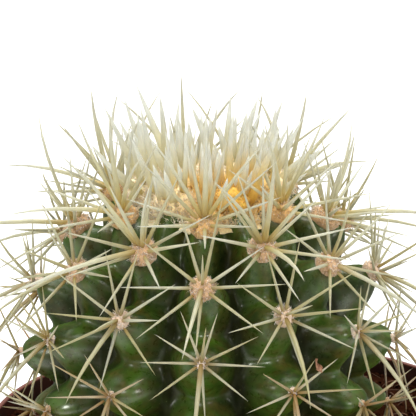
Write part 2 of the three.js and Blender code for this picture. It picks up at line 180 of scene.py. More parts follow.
def rounded(profile, radius, segments):
    """The profile with each inner corner cut to a small arc."""
    out = [profile[0]]
    for before, corner, after in zip(profile, profile[1:], profile[2:]):
        here = Vector(corner)
        back, on = Vector(before) - here, Vector(after) - here
        reach = min(radius, back.length / 2.2, on.length / 2.2)  # two arcs share a short edge
        start = here + back.normalized() * reach
        end = here + on.normalized() * reach
        for step in range(segments + 1):
            share = step / segments
            out.append(tuple(start.lerp(here, share).lerp(here.lerp(end, share), share)))
    out.append(profile[-1])
    return out


shoulder = POT_HEIGHT - COLLAR
neck = RIM_RADIUS - LEDGE
pot_profile = [
    (0, 0),
    (BASE_RADIUS, 0),
    (neck, shoulder),
    (RIM_RADIUS - COLLAR_TAPER, shoulder + LEDGE_RISE),
    (RIM_RADIUS, POT_HEIGHT),
    (RIM_RADIUS - WALL, POT_HEIGHT),
    (RIM_RADIUS - COLLAR_TAPER - WALL, shoulder + LEDGE_RISE + WALL),
    (neck - WALL, shoulder + LEDGE_RISE / 2),
    (BASE_RADIUS - WALL, WALL),
    (0, WALL),
]


def hold(mesh, label, values):
    """A value for each point of a mesh, for its material to read."""
    held = mesh.attributes.new(label, "FLOAT", "POINT")
    held.data.foreach_set("value", np.asarray(values, dtype=np.float32).ravel())


plastic, tree = new_material("moulded_terracotta_brown_polypropylene")
# Polypropylene, injection-moulded: an even, slightly cloudy brown with a satin skin and small dark
# specks of peat. The inside is painted nearly black in patches, as painted shade in the deep wall.
place = add(tree, "ShaderNodeTexCoord").outputs["Object"]
cloudy = add(tree, "ShaderNodeTexNoise", {"Vector": place, "Scale": 1000 / 14, "Detail": 4})
speckle = add(tree, "ShaderNodeTexNoise", {"Vector": place, "Scale": 1000 / 0.9, "Detail": 3})
tone = add(
    tree,
    "ShaderNodeMix",
    {0: cloudy.outputs[0], 6: linear("#602d1c"), 7: linear("#733a26")},
    data_type="RGBA",
)
dusting = add(
    tree,
    "ShaderNodeMapRange",
    {"Value": speckle.outputs[0], "From Min": 0.6, "From Max": 0.78, "To Min": 0.0, "To Max": 0.5},
)
dusted = add(
    tree,
    "ShaderNodeMix",
    {0: dusting.outputs[0], 6: tone.outputs[2], 7: linear("#33170f")},
    data_type="RGBA",
)
# Painted shade: the inner wall, which lies in shade, is darkened in patches towards nearly black.
inside = add(tree, "ShaderNodeAttribute", attribute_name="inside").outputs["Fac"]
inner_shade_patches = add(
    tree,
    "ShaderNodeMapRange",
    {"Value": cloudy.outputs[0], "From Min": 0.3, "From Max": 0.7, "To Min": 0.5, "To Max": 1.0},
)
painted_inner_shade = add(tree, "ShaderNodeMath", {0: inside, 1: inner_shade_patches.outputs[0]}, operation="MULTIPLY")
stains_and_painted_shade = add(
    tree,
    "ShaderNodeMix",
    {0: painted_inner_shade.outputs[0], 6: dusted.outputs[2], 7: linear("#220d06")},
    data_type="RGBA",
)
relief = add(
    tree,
    "ShaderNodeBump",
    {"Height": speckle.outputs[0], "Strength": 0.15, "Distance": 0.1 * MM},
)
surface = add(
    tree,
    "ShaderNodeBsdfPrincipled",
    {
        "Base Color": stains_and_painted_shade.outputs[2],
        "Roughness": 0.42,
        "IOR": 1.49,
        "Normal": relief.outputs[0],
    },
)
add(tree, "ShaderNodeOutputMaterial", {"Surface": surface.outputs[0]})

pot_profile = rounded(pot_profile, EDGE_ROUND, EDGE_STEPS)
pot = new_piece("nursery_pot", spun(pot_profile, POT_STEPS), plastic)
drill = bmesh.new()
for i in range(DRAINS):
    angle = math.radians(360 * i / DRAINS + DRAIN_TURN)
    made = bmesh.ops.create_cone(
        drill,
        cap_ends=True,
        segments=DRAIN_SIDES,
        radius1=DRAIN_RADIUS,
        radius2=DRAIN_RADIUS,
        depth=DRILL_LENGTH,
    )
    bmesh.ops.translate(
        drill,
        verts=made["verts"],
        vec=(DRAIN_CIRCLE * math.cos(angle), DRAIN_CIRCLE * math.sin(angle), 0),
    )
drills = new_piece("drills", drill, plastic)
cut = pot.modifiers.new("drains", "BOOLEAN")
cut.object = drills
cut.solver = "EXACT"
bpy.context.view_layer.update()
drilled = bpy.data.meshes.new_from_object(pot.evaluated_get(bpy.context.evaluated_depsgraph_get()))
pot.modifiers.clear()
pot.data = drilled
bpy.data.objects.remove(drills)
# Marks the points of the inner wall, which the material darkens as painted shade.
wall_levels = [0, shoulder, shoulder + LEDGE_RISE, POT_HEIGHT]
wall_radii = [BASE_RADIUS, neck, RIM_RADIUS, RIM_RADIUS]
inner_shade_points = []
for vertex in pot.data.vertices:
    x, y, z = vertex.co
    over_floor = 0.5 * WALL < z < POT_HEIGHT - 0.9 * EDGE_ROUND
    within = math.hypot(x, y) < np.interp(z, wall_levels, wall_radii) - 0.9 * WALL
    inner_shade_points.append(float(over_floor and within))
hold(pot.data, "inside", inner_shade_points)
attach(pot, "root")
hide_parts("pot")


# ---- The soil ------------------------------------------------------------------------------
# Damp dark peat that fills the pot to just under the rim, sunk round the stem's foot. Loose crumbs
# and pale root and sphagnum fibres lie on it.
SOIL_LEVEL = 95.5 * MM
SOIL_GAP = 0.3 * MM
SOIL_RELIEF = [(19, 1.3, 0.4), (5, 0.8, 3.1), (1.7, 0.45, 8.7)]  # mm wide, mm high, noise level
SOIL_STEPS = 150
SOIL_RINGS = 70
STEM_AXIS = np.array([-8.2, -5.1]) * MM
FOOT_RADIUS = 31 * MM
HOLLOW_DEPTH = 11.5  # mm
HOLLOW_SLOPE = 8 * MM
CRUMBS = 2600
FIBRES = 150
FIBRE_CUTS = (0.2, 0.4, 0.6, 0.8)
chance = np.random.default_rng(7)


def template(shape):
    """Points and faces of a small bmesh, to be repeated."""
    shape.verts.ensure_lookup_table()
    points = np.array([v.co for v in shape.verts])
    faces = [[v.index for v in f.verts] for f in shape.faces]
    shape.free()
    return points, faces


def repeated(name, shape, placed, material, attributes=None):
    """A piece of many copies: placed is (copies, points, 3), attributes hold a value per point."""
    points, faces = shape
    copies, size = placed.shape[:2]
    counts = np.array([len(f) for f in faces])
    corners = np.concatenate([np.array(f) for f in faces])
    all_corners = (corners[None] + size * np.arange(copies)[:, None]).ravel()
    all_counts = np.tile(counts, copies)
    mesh = bpy.data.meshes.new(name)
    mesh.vertices.add(copies * size)
    mesh.vertices.foreach_set("co", placed.astype(np.float32).ravel())
    mesh.loops.add(len(all_corners))
    mesh.loops.foreach_set("vertex_index", all_corners.astype(np.int32))
    mesh.polygons.add(len(all_counts))
    starts = np.concatenate([[0], np.cumsum(all_counts)[:-1]])
    mesh.polygons.foreach_set("loop_start", starts.astype(np.int32))
    mesh.update(calc_edges=True)
    for label, values in (attributes or {}).items():
        hold(mesh, label, np.broadcast_to(values, (copies, size)))
    mesh.materials.append(material)
    mesh.shade_smooth()
    piece = bpy.data.objects.new(name, mesh)
    bpy.context.collection.objects.link(piece)
    return piece


def unit(vectors):
    return vectors / np.linalg.norm(vectors, axis=-1, keepdims=True)


def along_lines(points, root, middle, tip, outward, width, thick):
    """Copies of a shape that stands on Z from 0 to 1, bent along lines from root to tip."""
    share = points[None, :, 2:3]
    root, middle, tip = (p[:, None, :] for p in (root, middle, tip))
    bend = 2 * middle - 0.5 * (root + tip)
    line = (1 - share) ** 2 * root + 2 * share * (1 - share) * bend + share**2 * tip
    way = unit(tip - root)
    side = unit(np.cross(way, outward[:, None, :]))
    over = np.cross(side, way)
    across = points[None, :, 0:1] * width[:, None, None]
    up = points[None, :, 1:2] * thick[:, None, None]
    return line + side * across + over * up


soil_edge = RIM_RADIUS - WALL - 0.7 * MM
soil_profile = [(0, WALL + SOIL_GAP), (BASE_RADIUS - 3.6 * MM, WALL + SOIL_GAP)]
soil_profile += [(neck - WALL - SOIL_GAP, shoulder), (soil_edge - 0.5 * MM, shoulder + 4.5 * MM)]
for ring in range(SOIL_RINGS + 1):
    soil_profile.append((soil_edge * (1 - ring / SOIL_RINGS), SOIL_LEVEL))
soil_body = spun(soil_profile, SOIL_STEPS)


def soil_height(x, y):
    """The peat's rough top: low mounds, lumps and grit, and the hollow under the stem."""
    rough = 0
    for wide, high, level in SOIL_RELIEF:
        rough += noise.noise((x / (wide * MM), y / (wide * MM), level)) * high
    off = math.hypot(x - STEM_AXIS[0], y - STEM_AXIS[1])
    hollow = min(max((FOOT_RADIUS + 2 * MM - off) / HOLLOW_SLOPE, 0), 1) * HOLLOW_DEPTH
    return SOIL_LEVEL + (rough - hollow) * MM


for point in soil_body.verts:
    if point.co.z > SOIL_LEVEL - 0.1 * MM:
        point.co.z = soil_height(point.co.x, point.co.y)

peat, tree = new_material("damp_sphagnum_peat")
# Damp peat moss: nearly black brown and rough, without any shine, with paler dry specks.
place = add(tree, "ShaderNodeTexCoord").outputs["Object"]
clods = add(tree, "ShaderNodeTexNoise", {"Vector": place, "Scale": 1000 / 4, "Detail": 6})
dry = add(tree, "ShaderNodeTexNoise", {"Vector": place, "Scale": 1000 / 0.8, "Detail": 3})
brown = add(
    tree,
    "ShaderNodeMix",
    {0: clods.outputs[0], 6: linear("#120804"), 7: linear("#31180d")},
    data_type="RGBA",
)
dryness = add(
    tree,
    "ShaderNodeMapRange",
    {"Value": dry.outputs[0], "From Min": 0.58, "From Max": 0.8, "To Min": 0.0, "To Max": 0.7},
)
specked = add(
    tree,
    "ShaderNodeMix",
    {0: dryness.outputs[0], 6: brown.outputs[2], 7: linear("#4a2c1a")},
    data_type="RGBA",
)
relief = add(
    tree,
    "ShaderNodeBump",
    {"Height": dry.outputs[0], "Strength": 0.8, "Distance": 0.5 * MM},
)
surface = add(
    tree,
    "ShaderNodeBsdfPrincipled",
    {
        "Base Color": specked.outputs[2],
        "Roughness": 0.95,
        "Specular IOR Level": 0.0,
        "Normal": relief.outputs[0],
    },
)
add(tree, "ShaderNodeOutputMaterial", {"Surface": surface.outputs[0]})
soil = new_piece("peat", soil_body, peat)


def soil_places(count, clear):
    """Random places on the peat, clear of the stem's foot, with the peat's height there."""
    found = []
    while len(found) < count:
        radius = (soil_edge - 1 * MM) * math.sqrt(chance.random())
        angle = 2 * math.pi * chance.random()
        x, y = radius * math.cos(angle), radius * math.sin(angle)
        if math.hypot(x - STEM_AXIS[0], y - STEM_AXIS[1]) > clear:
            found.append((x, y, soil_height(x, y)))
    return np.array(found)


crumb = bmesh.new()
bmesh.ops.create_icosphere(crumb, subdivisions=1, radius=1)
crumb_shape = template(crumb)
# Half their size: 0.25 to 1.2 mm, and most of them small.
size = (0.25 + 0.95 * chance.random(CRUMBS) ** 2.2) * MM
turns = unit(chance.normal(size=(CRUMBS, 3, 3)))
squash = 0.55 + 0.45 * chance.random((CRUMBS, 3))
lumpy = 1 + 0.22 * chance.normal(size=(CRUMBS, len(crumb_shape[0]), 1))
stretched = crumb_shape[0][None] * squash[:, None] * lumpy
turned = np.einsum("cij,cpj->cpi", np.linalg.qr(turns)[0], stretched) * size[:, None, None]
crumb_spots = soil_places(CRUMBS, FOOT_RADIUS - 1 * MM)
crumbs = repeated("peat_crumbs", crumb_shape, crumb_spots[:, None] + turned, peat)


def rod(sides, foot, point, levels):
    """A round rod on Z from 0 to 1, with the radius of its foot and point, cut at each level."""
    made = bmesh.new()
    bmesh.ops.create_cone(
        made, cap_ends=True, segments=sides, radius1=foot, radius2=point, depth=1
    )
    bmesh.ops.translate(made, verts=made.verts, vec=(0, 0, 0.5))
    for level in levels:
        everything = made.verts[:] + made.edges[:] + made.faces[:]
        bmesh.ops.bisect_plane(made, geom=everything, plane_co=(0, 0, level), plane_no=(0, 0, 1))
    return made


fibre_stuff, tree = new_material("dry_root_fibre")
# Dead roots and sphagnum stalks: dull, pale brown, matt.
place = add(tree, "ShaderNodeTexCoord").outputs["Object"]
streak = add(tree, "ShaderNodeTexNoise", {"Vector": place, "Scale": 1000 / 6, "Detail": 2})
tan = add(
    tree,
    "ShaderNodeMix",
    {0: streak.outputs[0], 6: linear("#2e1a10"), 7: linear("#7d5738")},
    data_type="RGBA",
)
surface = add(tree, "ShaderNodeBsdfPrincipled", {"Base Color": tan.outputs[2], "Roughness": 0.85})
add(tree, "ShaderNodeOutputMaterial", {"Surface": surface.outputs[0]})
strand_shape = template(rod(4, 1, 0.5, FIBRE_CUTS))
start = soil_places(FIBRES, FOOT_RADIUS + 1 * MM)
heading = 2 * math.pi * chance.random(FIBRES)
span = (4 + 10 * chance.random(FIBRES)) * MM
end = start + np.stack([np.cos(heading) * span, np.sin(heading) * span, 0 * span], 1)
too_far = np.hypot(end[:, 0], end[:, 1]) > soil_edge - 1.5 * MM
end[too_far] = start[too_far] * 0.88 + np.array([0, 0, 1 * MM])
end[:, 2] = [soil_height(x, y) for x, y in end[:, :2]]
middle = (start + end) / 2 + chance.normal(size=(FIBRES, 3)) * 0.12 * span[:, None]
middle[:, 2] = np.maximum(start[:, 2], end[:, 2]) + 0.9 * MM
thin = (0.09 + 0.12 * chance.random(FIBRES)) * MM
upward = np.tile([0.0, 0.0, 1.0], (FIBRES, 1))
bent = along_lines(strand_shape[0], start, middle, end, upward, thin, thin)
fibres = repeated("root_fibres", strand_shape, bent, fibre_stuff)
for piece in (soil, crumbs, fibres):
    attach(piece, "root")
    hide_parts("soil")


# ---- The stem ------------------------------------------------------------------------------
# One living globe. Its ribs are cut into tubercles, fat at each areole and notched between them,
# and the areoles climb from rib to rib. The skin is dark green, firm and waxy.
STEM_MIDDLE = 119.8 * MM
STEM_RADIUS = 43 * MM
STEM_UP = 41.6 * MM
STEM_DOWN = 33.5 * MM
SHOULDER = 2.1  # 2 would be an ellipse
RIBS = 13
RIB_ANGLE = 360 / RIBS
FRONT_RIB = -2  # degrees
TURNS = 6  # steps that a row drops in one round of the ribs
RIB_DEPTH = 0.2  # of the stem's radius
NOTCH_DEPTH = 0.15
CHIN = 0.05
FIRST_AREOLE = 28.5  # degrees from the top, as all levels on the skin
AREOLE_STEP = 22.8
HIGHEST_AREOLE = 26
LOWEST_AREOLE = 113
RIBS_RISE, RIBS_FADE = (8, 42), (112, 150)
NOTCHES_RISE, NOTCHES_FADE = (18, 46), (106, 132)
CROWN_LEVEL = 37.8 * MM
SKIN_COLUMNS = RIBS * 26
SKIN_ROWS = 190


def ramp(value, low, high):
    """0 below low, 1 above high, and a smooth step between them."""
    share = np.clip((value - low) / (high - low), 0, 1)
    return share * share * (3 - 2 * share)


def envelope(polar):
    """The smooth shape over the tubercles' tips: radius and height over the widest level."""
    sine, cosine = np.sin(np.radians(polar)), np.cos(np.radians(polar))
    reach = np.where(cosine > 0, STEM_UP, STEM_DOWN)
    radius = STEM_RADIUS * np.abs(sine) ** (2 / SHOULDER)
    return radius, reach * np.sign(cosine) * np.abs(cosine) ** (2 / SHOULDER)


def rib_shift(rib):
    return np.mod(TURNS * rib / RIBS, 1)


def skin_share(polar, azimuth):
    """The skin's distance from the stem's centre as a share of the envelope's, and how deep
    in a furrow it is, from 0 on a crest to 1."""
    turn = (azimuth - FRONT_RIB) / RIB_ANGLE
    rib = np.round(turn)
    row = (polar - FIRST_AREOLE) / AREOLE_STEP - rib_shift(rib)
    swell = np.cos(2 * np.pi * (row - CHIN * (1 - np.cos(2 * np.pi * row))))
    across = (2 * np.abs(turn - rib)) ** (1.4 + 0.4 * swell)
    crest = 0.5 + 0.5 * np.cos(np.pi * np.minimum(across, 1))
    ribs = RIB_DEPTH * ramp(polar, *RIBS_RISE) * (1 - 0.6 * ramp(polar, *RIBS_FADE))
    notches = NOTCH_DEPTH * ramp(polar, *NOTCHES_RISE) * (1 - ramp(polar, *NOTCHES_FADE))
    share = 1 - ribs * (1 - crest) - notches * 0.5 * (1 - swell) * (1 - across * across)
    return share, across


def stem_point(polar, azimuth, share):
    radius, height = envelope(polar)
    around = np.radians(azimuth)
    return np.stack(
        [
            STEM_AXIS[0] + share * radius * np.sin(around),
            STEM_AXIS[1] - share * radius * np.cos(around),
            STEM_MIDDLE + np.minimum(share * height, CROWN_LEVEL),
        ],
        -1,
    )


globe = bmesh.new()
bmesh.ops.create_uvsphere(globe, u_segments=SKIN_COLUMNS, v_segments=SKIN_ROWS, radius=1)
bmesh.ops.recalc_face_normals(globe, faces=globe.faces)
on_sphere = np.array([v.co for v in globe.verts])
polar = np.degrees(np.arccos(np.clip(on_sphere[:, 2], -1, 1)))
azimuth = np.degrees(np.arctan2(on_sphere[:, 0], -on_sphere[:, 1]))
share, furrow = skin_share(polar, azimuth)
on_skin = stem_point(polar, azimuth, share)
for vertex, target in zip(globe.verts, on_skin):
    vertex.co = target

skin, tree = new_material("waxy_cactus_skin")
# Living epidermis under a thin wax: deep green on the crests and painted nearly black in the
# furrows as painted shade, with olive stains, a greyish bloom that is partly a painted sheen, a
# corky foot and pale pores, drawn 1.1 mm apart so that they show. The wax is a thin white gloss,
# weaker in the furrows and where it is rubbed off.
place = add(tree, "ShaderNodeTexCoord").outputs["Object"]
depth = add(tree, "ShaderNodeAttribute", attribute_name="furrow").outputs["Fac"]
age = add(tree, "ShaderNodeAttribute", attribute_name="age").outputs["Fac"]
mottle = add(tree, "ShaderNodeTexNoise", {"Vector": place, "Scale": 1000 / 9, "Detail": 5})
fine = add(tree, "ShaderNodeTexNoise", {"Vector": place, "Scale": 1000 / 1.4, "Detail": 4})
pores = add(tree, "ShaderNodeTexVoronoi", {"Vector": place, "Scale": 1000 / 1.1})
patchy = add(
    tree,
    "ShaderNodeMapRange",
    {"Value": mottle.outputs[0], "From Min": 0.35, "From Max": 0.68},
)
green = add(
    tree,
    "ShaderNodeMix",
    {0: patchy.outputs[0], 6: linear("#1e3003"), 7: linear("#46680e")},
    data_type="RGBA",
)
stains = add(tree, "ShaderNodeTexNoise", {"Vector": place, "Scale": 1000 / 3.2, "Detail": 6})
stains_and_painted_shade = add(
    tree,
    "ShaderNodeMapRange",
    {"Value": stains.outputs[0], "From Min": 0.42, "From Max": 0.66, "To Min": 0.0, "To Max": 0.85},
)
olive = add(
    tree,
    "ShaderNodeMix",
    {0: stains_and_painted_shade.outputs[0], 6: green.outputs[2], 7: linear("#4a4312")},
    data_type="RGBA",
)
# Partly painted sheen: broad soft greyish patches, the wax's bloom and a painted sheen together.
bloom_and_sheen = add(tree, "ShaderNodeTexNoise", {"Vector": place, "Scale": 1000 / 15, "Detail": 3})
bloom_and_sheen_share = add(
    tree,
    "ShaderNodeMapRange",
    {"Value": bloom_and_sheen.outputs[0], "From Min": 0.52, "From Max": 0.7, "To Min": 0.0, "To Max": 0.45},
)
bloom_and_sheen_coloured = add(
    tree,
    "ShaderNodeMix",
    {0: bloom_and_sheen_share.outputs[0], 6: olive.outputs[2], 7: linear("#4f6630")},
    data_type="RGBA",
)
# Painted shade: the deeper a point lies in a furrow, the nearer its green is painted to nearly
# black.
furrow_shade_share = add(
    tree,
    "ShaderNodeMapRange",
    {"Value": depth, "From Min": 0.18, "From Max": 0.85, "To Min": 0.0, "To Max": 0.94},
)
painted_furrow_shade = add(
    tree,
    "ShaderNodeMix",
    {0: furrow_shade_share.outputs[0], 6: bloom_and_sheen_coloured.outputs[2], 7: linear("#1a1c07")},
    data_type="RGBA",
)
pore = add(
    tree,
    "ShaderNodeMapRange",
    {
        "Value": pores.outputs["Distance"],
        "From Min": 0.0,
        "From Max": 0.16,
        "To Min": 0.3,
        "To Max": 0.0,
    },
)
dotted = add(
    tree,
    "ShaderNodeMix",
    {0: pore.outputs[0], 6: painted_furrow_shade.outputs[2], 7: linear("#8f9c66")},
    data_type="RGBA",
)
corkiness = add(
    tree,
    "ShaderNodeMath",
    {0: age, 1: fine.outputs[0]},
    operation="MULTIPLY",
)
corky = add(
    tree,
    "ShaderNodeMix",
    {0: corkiness.outputs[0], 6: dotted.outputs[2], 7: linear("#8a7a4c")},
    data_type="RGBA",
)
grain = add(
    tree,
    "ShaderNodeMapRange",
    {"Value": fine.outputs[0], "From Min": 0.3, "From Max": 0.7, "To Min": 0.76, "To Max": 1.1},
)
grained = add(
    tree,
    "ShaderNodeVectorMath",
    {0: corky.outputs[2], "Scale": grain.outputs[0]},
    operation="SCALE",
)
relief = add(
    tree,
    "ShaderNodeBump",
    {"Height": fine.outputs[0], "Strength": 0.28, "Distance": 0.2 * MM},
)
surface = add(
    tree,
    "ShaderNodeBsdfPrincipled",
    {
        "Base Color": grained.outputs[0],
        "Roughness": 0.6,
        "Specular IOR Level": 0.1,
        "Subsurface Weight": 0.12,
        "Subsurface Radius": (0.4, 1.0, 0.2),
        "Subsurface Scale": 1.5 * MM,
        "Normal": relief.outputs[0],
    },
)
gloss = add(
    tree,
    "ShaderNodeMapRange",
    {"Value": fine.outputs[0], "From Min": 0.3, "From Max": 0.7, "To Min": 0.24, "To Max": 0.38},
)
wax = add(
    tree,
    "ShaderNodeBsdfAnisotropic",
    {"Color": linear("#f3f4ec"), "Roughness": gloss.outputs[0], "Normal": relief.outputs[0]},
)
wax_share = add(
    tree,
    "ShaderNodeMapRange",
    {"Value": depth, "From Min": 0.55, "From Max": 0.9, "To Min": 0.085, "To Max": 0.002},
)
rubbed = add(
    tree,
    "ShaderNodeMapRange",
    {"Value": mottle.outputs[0], "From Min": 0.42, "From Max": 0.66, "To Min": 0.2, "To Max": 1.0},
)
waxed = add(
    tree,
    "ShaderNodeMath",
    {0: wax_share.outputs[0], 1: rubbed.outputs[0]},
    operation="MULTIPLY",
)
both = add(
    tree,
    "ShaderNodeMixShader",
    {0: waxed.outputs[0], 1: surface.outputs[0], 2: wax.outputs[0]},
)
add(tree, "ShaderNodeOutputMaterial", {"Surface": both.outputs[0]})

stem = new_piece("cactus_stem", globe, skin)
hold(stem.data, "furrow", furrow * ramp(polar, 15, 40))
hold(stem.data, "age", 0.8 * ramp(polar, 96, 128))
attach(stem, "root")
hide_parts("stem")


# ---- The areoles' wool ---------------------------------------------------------------------
# Each tubercle ends in an areole: a cushion of packed wool under curly hairs, which the spines
# stand in. It is golden beige and full near the crown, peach and then grizzled lower down, and
# nearly gone by the soil. Its hairs are drawn fewer and thicker than the plant's, to show.
AREOLE_TILT = math.radians(8)
FOOT_TOP, FOOT_LOSS, FOOT_LEAST = 4, 0.05, 1.7  # the spines' foot: mm, mm a degree, mm
WOOL_TOP, WOOL_LOSS, WOOL_FADE = 3.2, 2.3, (36, 92)  # the wool: mm, mm, degrees
CUSHION_FORM = np.array([1.02, 1.08, 0.78])
CUSHION_ROUGH, CUSHION_GRAIN = 0.16, 0.9 * MM
HAIRS_PER_MM2 = 7
HAIR_THICK = 0.075 * MM


class Areole:
    """Where one areole sits: its node, its place on the skin, outward normal, right and up."""

    def __init__(self, rib, row, polar):
        self.node = f"areole_rib{rib + 1:02d}_row{row}"
        self.rib = rib
        self.polar = polar
        self.radius = max(FOOT_LEAST, FOOT_TOP - FOOT_LOSS * (polar - FIRST_AREOLE)) * MM
        self.wool = (WOOL_TOP - WOOL_LOSS * float(ramp(polar, *WOOL_FADE))) * MM
        azimuth = FRONT_RIB + rib * RIB_ANGLE
        share, _ = skin_share(polar, azimuth)
        self.place = stem_point(polar, azimuth, share)
        up = unit(stem_point(polar - 0.01, azimuth, 1) - stem_point(polar + 0.01, azimuth, 1))
        around = math.radians(azimuth)
        self.right = np.array([math.cos(around), math.sin(around), 0])
        normal = unit(np.cross(self.right, up))
        self.normal = math.cos(AREOLE_TILT) * normal + math.sin(AREOLE_TILT) * up
        self.up = np.cross(self.normal, self.right)
        # It sits on the highest skin under its disc, tried at 7 by 7 spots.
        reach = math.degrees(self.radius / STEM_RADIUS) * np.linspace(-1, 1, 7)
        down, side = np.meshgrid(polar + reach, azimuth + reach)
        near = stem_point(down, side, skin_share(down, side)[0]) - self.place
        self.seat = self.place + (np.max(near @ self.normal) + 0.3 * MM) * self.normal


areoles = []
for rib in range(RIBS):
    row = 0
    for step in range(-1, 5):
        polar = FIRST_AREOLE + AREOLE_STEP * (step + rib_shift(rib))
        if HIGHEST_AREOLE < polar < LOWEST_AREOLE:
            row += 1
            areoles.append(Areole(rib, row, polar))


def felt(name, young, old, frost, matting):
    """Matted plant wool: soft and dull, its colour turning with its age, some hairs bleached, and
    painted lighter on its tufts and darker between them as painted light and shade.
    """
    material, tree = new_material(name)
    place = add(tree, "ShaderNodeTexCoord").outputs["Object"]
    tufts = add(tree, "ShaderNodeTexNoise", {"Vector": place, "Scale": 1000 / matting, "Detail": 5})
    worn = add(tree, "ShaderNodeAttribute", attribute_name="worn").outputs["Fac"]
    bleached = add(tree, "ShaderNodeAttribute", attribute_name="bleached").outputs["Fac"]
    aged = add(
        tree,
        "ShaderNodeMix",
        {0: worn, 6: linear(young), 7: linear(old)},
        data_type="RGBA",
    )
    frosted = add(
        tree,
        "ShaderNodeMix",
        {0: bleached, 6: aged.outputs[2], 7: linear(frost)},
        data_type="RGBA",
    )
    # Painted light and shade: lighter on the tufts and darker in the pits, by the noise that raises
    # the bump.
    tuft_light_and_shade = add(
        tree,
        "ShaderNodeMapRange",
        {
            "Value": tufts.outputs[0],
            "From Min": 0.3,
            "From Max": 0.7,
            "To Min": 0.76,
            "To Max": 1.16,
        },
    )
    toned = add(
        tree,
        "ShaderNodeVectorMath",
        {0: frosted.outputs[2], "Scale": tuft_light_and_shade.outputs[0]},
        operation="SCALE",
    )
    relief = add(
        tree,
        "ShaderNodeBump",
        {"Height": tufts.outputs[0], "Strength": 0.4, "Distance": 0.3 * MM},
    )
    surface = add(
        tree,
        "ShaderNodeBsdfPrincipled",
        {
            "Base Color": toned.outputs[0],
            "Roughness": 0.95,
            "Specular IOR Level": 0.2,
            "Subsurface Weight": 0.3,
            "Subsurface Radius": (1.0, 0.7, 0.4),
            "Subsurface Scale": 0.8 * MM,
            "Sheen Weight": 0.25,
            "Sheen Roughness": 0.5,
            "Normal": relief.outputs[0],
        },
    )
    add(tree, "ShaderNodeOutputMaterial", {"Surface": surface.outputs[0]})
    return material


ball = bmesh.new()
bmesh.ops.create_icosphere(ball, subdivisions=3, radius=1)
ball_shape = template(ball)
hair_shape = template(rod(3, 1, 0, [0.5]))


def cushion_on(a, radius, form, rough, grain):
    """A lumpy dome of wool on an areole, as the ball's points."""
    points = ball_shape[0] * form * radius
    lumps = [noise.noise(Vector(p / grain) + Vector((a.rib, a.polar, 0))) for p in points]
    points = points * (1 + rough * np.array(lumps)[:, None])
    return a.seat + points[:, :1] * a.right + points[:, 1:2] * a.up + points[:, 2:] * a.normal


def hairs_on(a, radius, form, length, thin):
    """Curly hairs all over that dome, as the points of many copies of the hair."""
    count = int(HAIRS_PER_MM2 * 2.2 * math.pi * (radius / MM) ** 2)
    way = unit(chance.normal(size=(count, 3)))
    way[:, 2] = np.abs(way[:, 2])
    root = 0.94 * radius * form * way
    lean = unit(way + 0.9 * chance.normal(size=(count, 3)))
    tip = root + lean * length * (0.45 + 0.75 * chance.random(count))[:, None]
    middle = (root + tip) / 2 + chance.normal(size=(count, 3)) * 0.28 * length
    basis = np.stack([a.right, a.up, a.normal])
    lines = [a.seat + part @ basis for part in (root, middle, tip)]
    width = thin * (0.7 + 1.5 * chance.random(count) ** 2)
    return along_lines(hair_shape[0], *lines, np.tile(a.normal, (count, 1)) + 0.01, width, width)


areole_felt = felt("curly_areole_wool", "#e8c488", "#e6c8a2", "#fffaf2", 0.5)
packed_felt = felt("packed_areole_wool", "#d3a96e", "#c6a27c", "#f3e2d0", 0.5)
cushions = [
    cushion_on(a, a.wool, CUSHION_FORM, CUSHION_ROUGH, CUSHION_GRAIN) for a in areoles
]
hairs = []
for a in areoles:
    length = (0.7 + 0.12 * a.wool / MM) * MM
    hairs.append(hairs_on(a, a.wool, CUSHION_FORM, length, HAIR_THICK))
# The wool turns from golden beige to peach by 42 degrees, and is grizzled between 50 and 96.
ages = [float(ramp(a.polar, 26, 42)) for a in areoles]
grizzled = [float(ramp(a.polar, 50, 72) * (1 - ramp(a.polar, 80, 96))) for a in areoles]
cushion = repeated(
    "areole_cushions",
    ball_shape,
    np.array(cushions),
    packed_felt,
    {"worn": np.array(ages)[:, None], "bleached": 0.7 * np.array(grizzled)[:, None]},
)
hair_ages = np.concatenate([np.full(len(h), age) for h, age in zip(hairs, ages)])
hair_frost = np.concatenate([np.full(len(h), grey) for h, grey in zip(hairs, grizzled)])
most_bleach = 0.4 + 0.3 * hair_ages + 0.3 * hair_frost
bleach = chance.random(len(hair_ages)) ** (2 - hair_frost) * most_bleach
fuzz = repeated(
    "areole_hairs",
    hair_shape,
    np.concatenate(hairs),
    areole_felt,
    {"worn": hair_ages[:, None], "bleached": bleach[:, None]},
)
for piece in (cushion, fuzz):
    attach(piece, "root")
    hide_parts(*[a.node for a in areoles])


# ---- The crown's wool ----------------------------------------------------------------------
# The growing point is hidden in a mat of felted wool, whose edge hangs over the furrows. It is
# golden where it is youngest, a little to the front right, and cream towards the edge.
CROWN_RADIUS = 18.5 * MM
CROWN_RISE = 4.2 * MM
CROWN_DROOP = 3 * MM
CROWN_HAIRS = 10000
GOLD_REACH = (5 * MM, 16 * MM)
TUFT_FORM = np.array([1.05, 1.05, 0.9])
TUFT_ROUGH, TUFT_GRAIN = 0.22, 1.1 * MM
TUFT_HAIR, TUFT_HAIR_THICK = 1.2 * MM, 0.08 * MM
crown_felt = felt("golden_crown_wool", "#f5c346", "#ffecc4", "#fff5de", 0.6)
crown_middle = np.array([*STEM_AXIS, STEM_MIDDLE + CROWN_LEVEL])
GOLD_SPOT = crown_middle + np.array([4, -7, 2]) * MM


def crown_height(out):
    """The mat's height over the crown's flat top at a distance from its middle."""
    return CROWN_RISE * (1 - 0.62 * (out / CROWN_RADIUS) ** 2.2)


def crown_droop(out):
    """How far the mat's edge hangs down over the furrows."""
    return CROWN_DROOP * ramp(out / CROWN_RADIUS, 0.72, 1)


def away_from_gold(points):
    """0 at the golden middle, 1 where the wool and the spines' feet are cream."""
    return ramp(np.linalg.norm(points - GOLD_SPOT, axis=-1), *GOLD_REACH)


